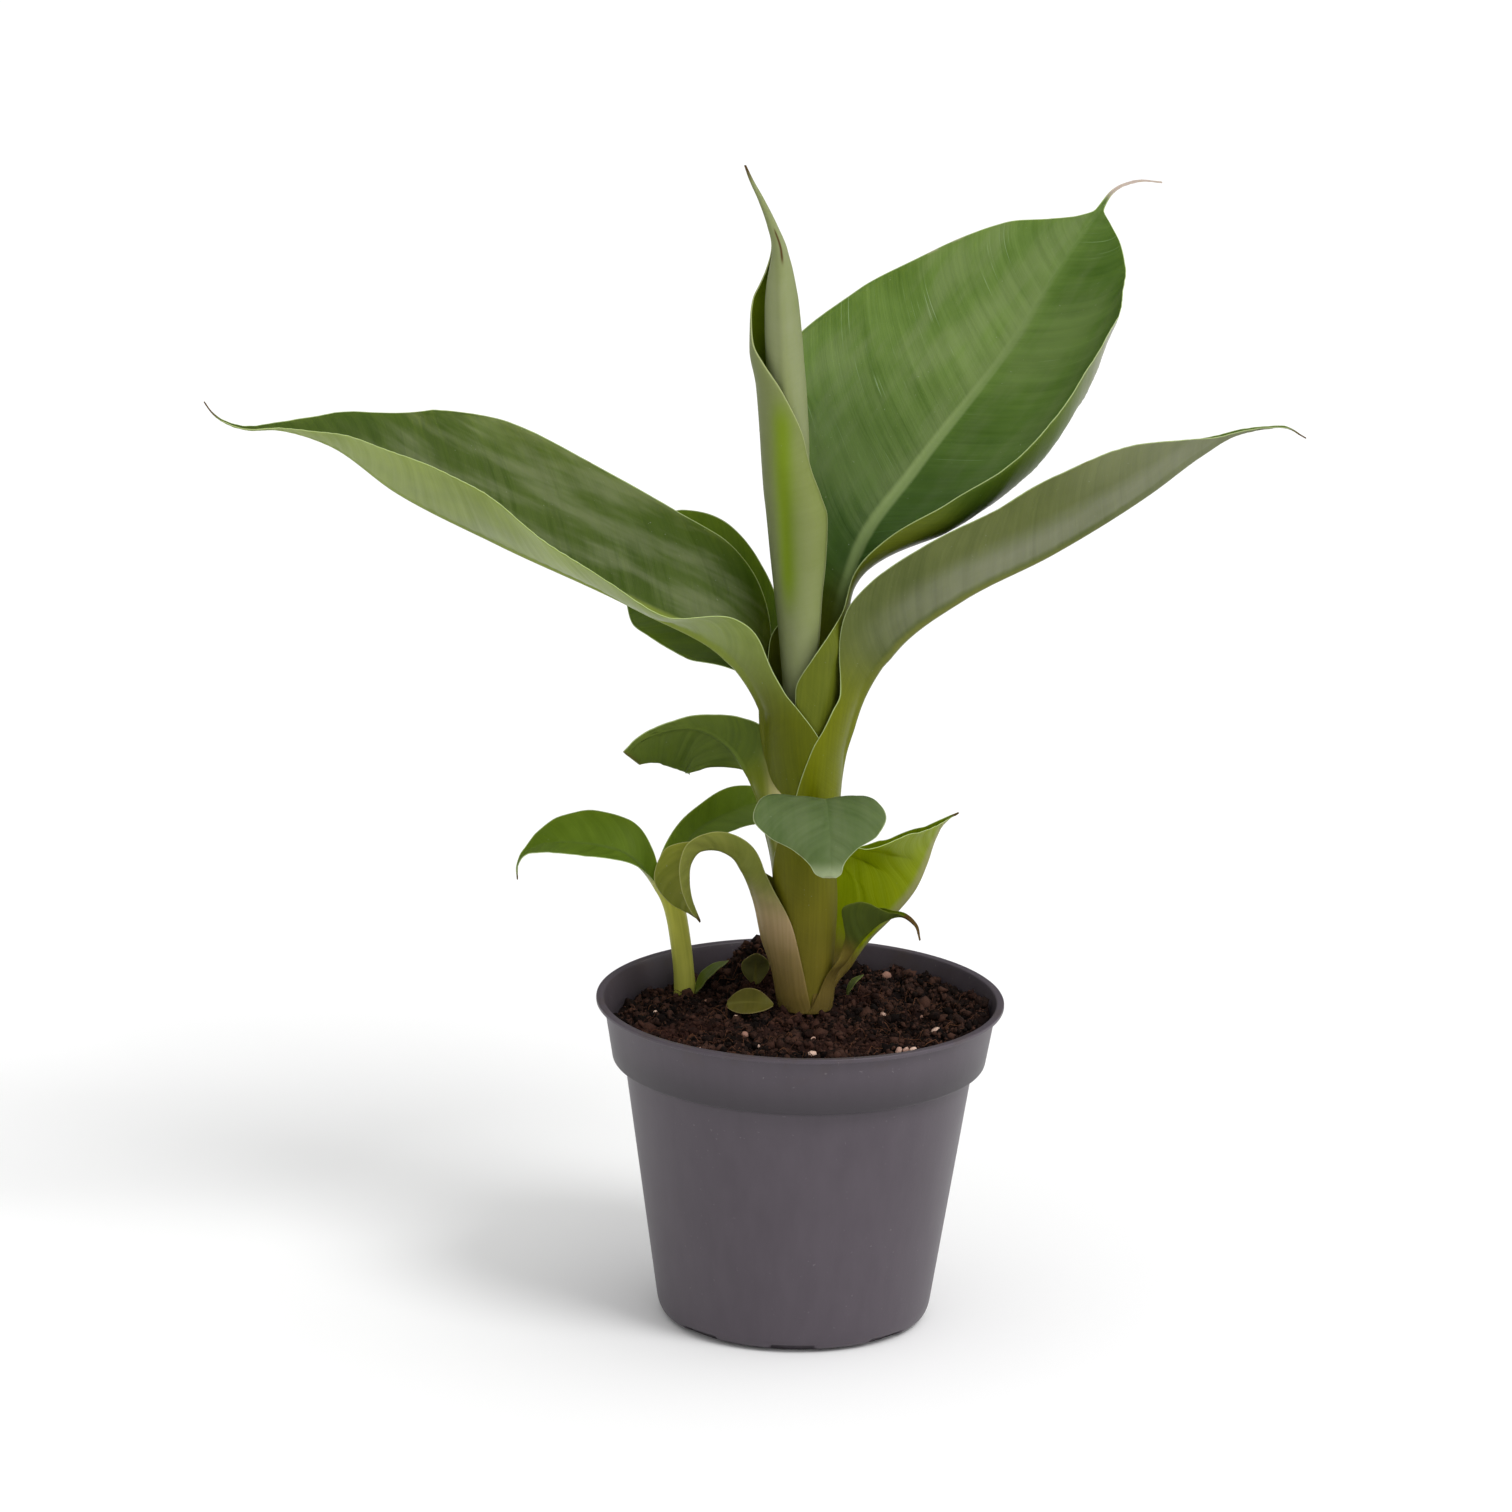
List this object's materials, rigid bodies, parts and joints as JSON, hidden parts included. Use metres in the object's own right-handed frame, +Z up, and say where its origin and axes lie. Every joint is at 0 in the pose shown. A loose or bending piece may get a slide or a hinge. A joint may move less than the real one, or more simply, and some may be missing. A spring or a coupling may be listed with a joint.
{
  "type": "banana plant in a pot",
  "caption": "Young banana plant with broad arching leaves, a furled spear leaf and a small side shoot, standing in a round nursery pot.",
  "frame": {"origin": "centre of the pot's flat underside", "axes": "+Z up along the pot's axis, +X to the right and +Y to the back as the picture shows the plant"},
  "size_m": [0.3202, 0.174, 0.345],
  "materials": {
    "pot_plastic": "satin",
    "peat": "rough",
    "sheath": "satin",
    "leaf_green": "satin",
    "leaf_young": "satin"
  },
  "bodies": {
    "root": {"pot": "pot_plastic", "soil": "peat", "pseudostem": "sheath", "spear_leaf": "leaf_green", "broad_leaf": "leaf_green", "back_leaf": "leaf_green", "right_leaf": "leaf_green", "left_leaf": "leaf_green", "hook_leaf_sheath": "sheath", "hook_leaf_blade": "leaf_green", "small_left_leaf": "leaf_green", "front_leaf": "leaf_green", "low_right_leaf": "leaf_young", "tiny_right_leaf": "leaf_green", "sucker_stem": "sheath", "sucker_left_leaf": "leaf_green", "sucker_right_leaf": "leaf_green", "scale_leaf_1": "leaf_green", "scale_leaf_2": "leaf_green", "scale_leaf_3": "leaf_green", "scale_leaf_4": "leaf_young"}
  },
  "joints": []
}
